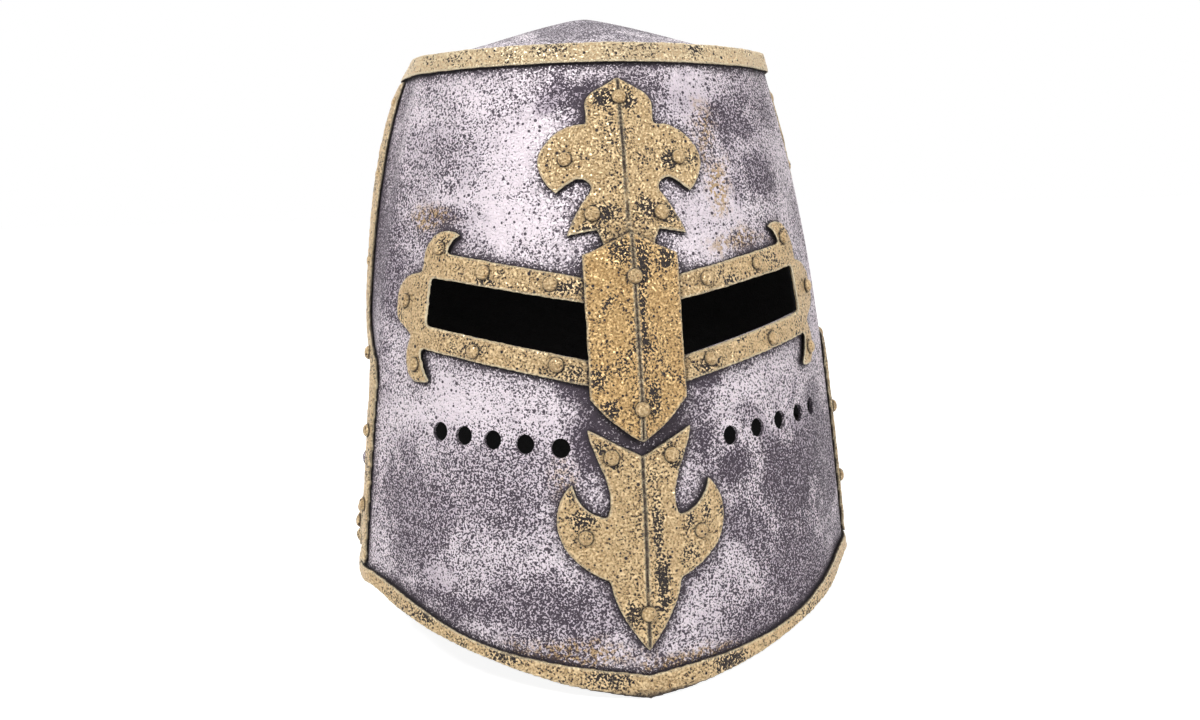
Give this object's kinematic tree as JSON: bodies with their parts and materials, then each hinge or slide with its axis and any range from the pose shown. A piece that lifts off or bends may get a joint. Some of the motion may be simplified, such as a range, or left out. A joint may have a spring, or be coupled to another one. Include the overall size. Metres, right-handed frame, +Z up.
{
  "type": "great helm",
  "caption": "Flat-topped riveted great helm with a ridged face plate, framed eye slots, breath holes, gold-coloured bands and fleur ornaments, a padded lining and a swinging chin strap.",
  "frame": {"origin": "centre of the helm at the height it stands on", "axes": "+Z up towards the crown; the face looks towards -Y; +X to the wearer's left"},
  "size_m": [0.2572, 0.2666, 0.3125],
  "materials": {
    "silver_plate": "antiqued, pitted",
    "gold_band": "matte, worn",
    "gold_rivet": "matte, worn",
    "steel_rivet": "antiqued",
    "strap_brass": "dull",
    "lining_leather": "smooth",
    "pad_cloth": "quilted linen",
    "strap_leather": "waxed"
  },
  "bodies": {
    "helm": {"face_plate": "silver_plate", "back_plate": "silver_plate", "crown_plate": "silver_plate", "brow_band": "gold_band", "rim_band_front": "gold_band", "rim_band_rear": "gold_band", "upper_fleur": "gold_band", "lower_fleur": "gold_band", "nose_plate": "gold_band", "seam_band_left": "gold_band", "seam_band_right": "gold_band", "sight_frame_left": "gold_band", "sight_frame_right": "gold_band", "side_trefoil_left": "gold_band", "side_trefoil_right": "gold_band", "upper_fleur_rivets": "gold_rivet", "lower_fleur_rivets": "gold_rivet", "nose_rivets": "gold_rivet", "trefoil_rivets": "gold_rivet", "seam_rivets_left": "gold_rivet", "seam_rivets_right": "gold_rivet", "frame_rivets_left": "gold_rivet", "frame_rivets_right": "gold_rivet", "crown_rivets": "steel_rivet", "lining_rivets": "steel_rivet", "strap_rivet_left": "steel_rivet", "strap_rivet_right": "steel_rivet", "lining_band": "lining_leather", "crown_disc": "lining_leather", "lining_tongue_1": "lining_leather", "lining_tongue_2": "lining_leather", "lining_tongue_3": "lining_leather", "lining_tongue_4": "lining_leather", "lining_tongue_5": "lining_leather", "lining_tongue_6": "lining_leather", "rear_pad": "pad_cloth", "left_pad": "pad_cloth", "brow_pad": "pad_cloth", "right_pad": "pad_cloth", "strap_spacer_left": "strap_brass", "strap_spacer_right": "strap_brass"},
    "chin_strap": {"chin_strap_left": "strap_leather", "chin_strap_right": "strap_leather", "strap_stud": "strap_brass"}
  },
  "joints": [
    {"name": "chin_strap_swing", "type": "hinge", "parent": "helm", "child": "chin_strap", "pos_m": [0, -0.008, 0.092], "axis": [1, 0, 0], "range_deg": [-70, 80]}
  ]
}
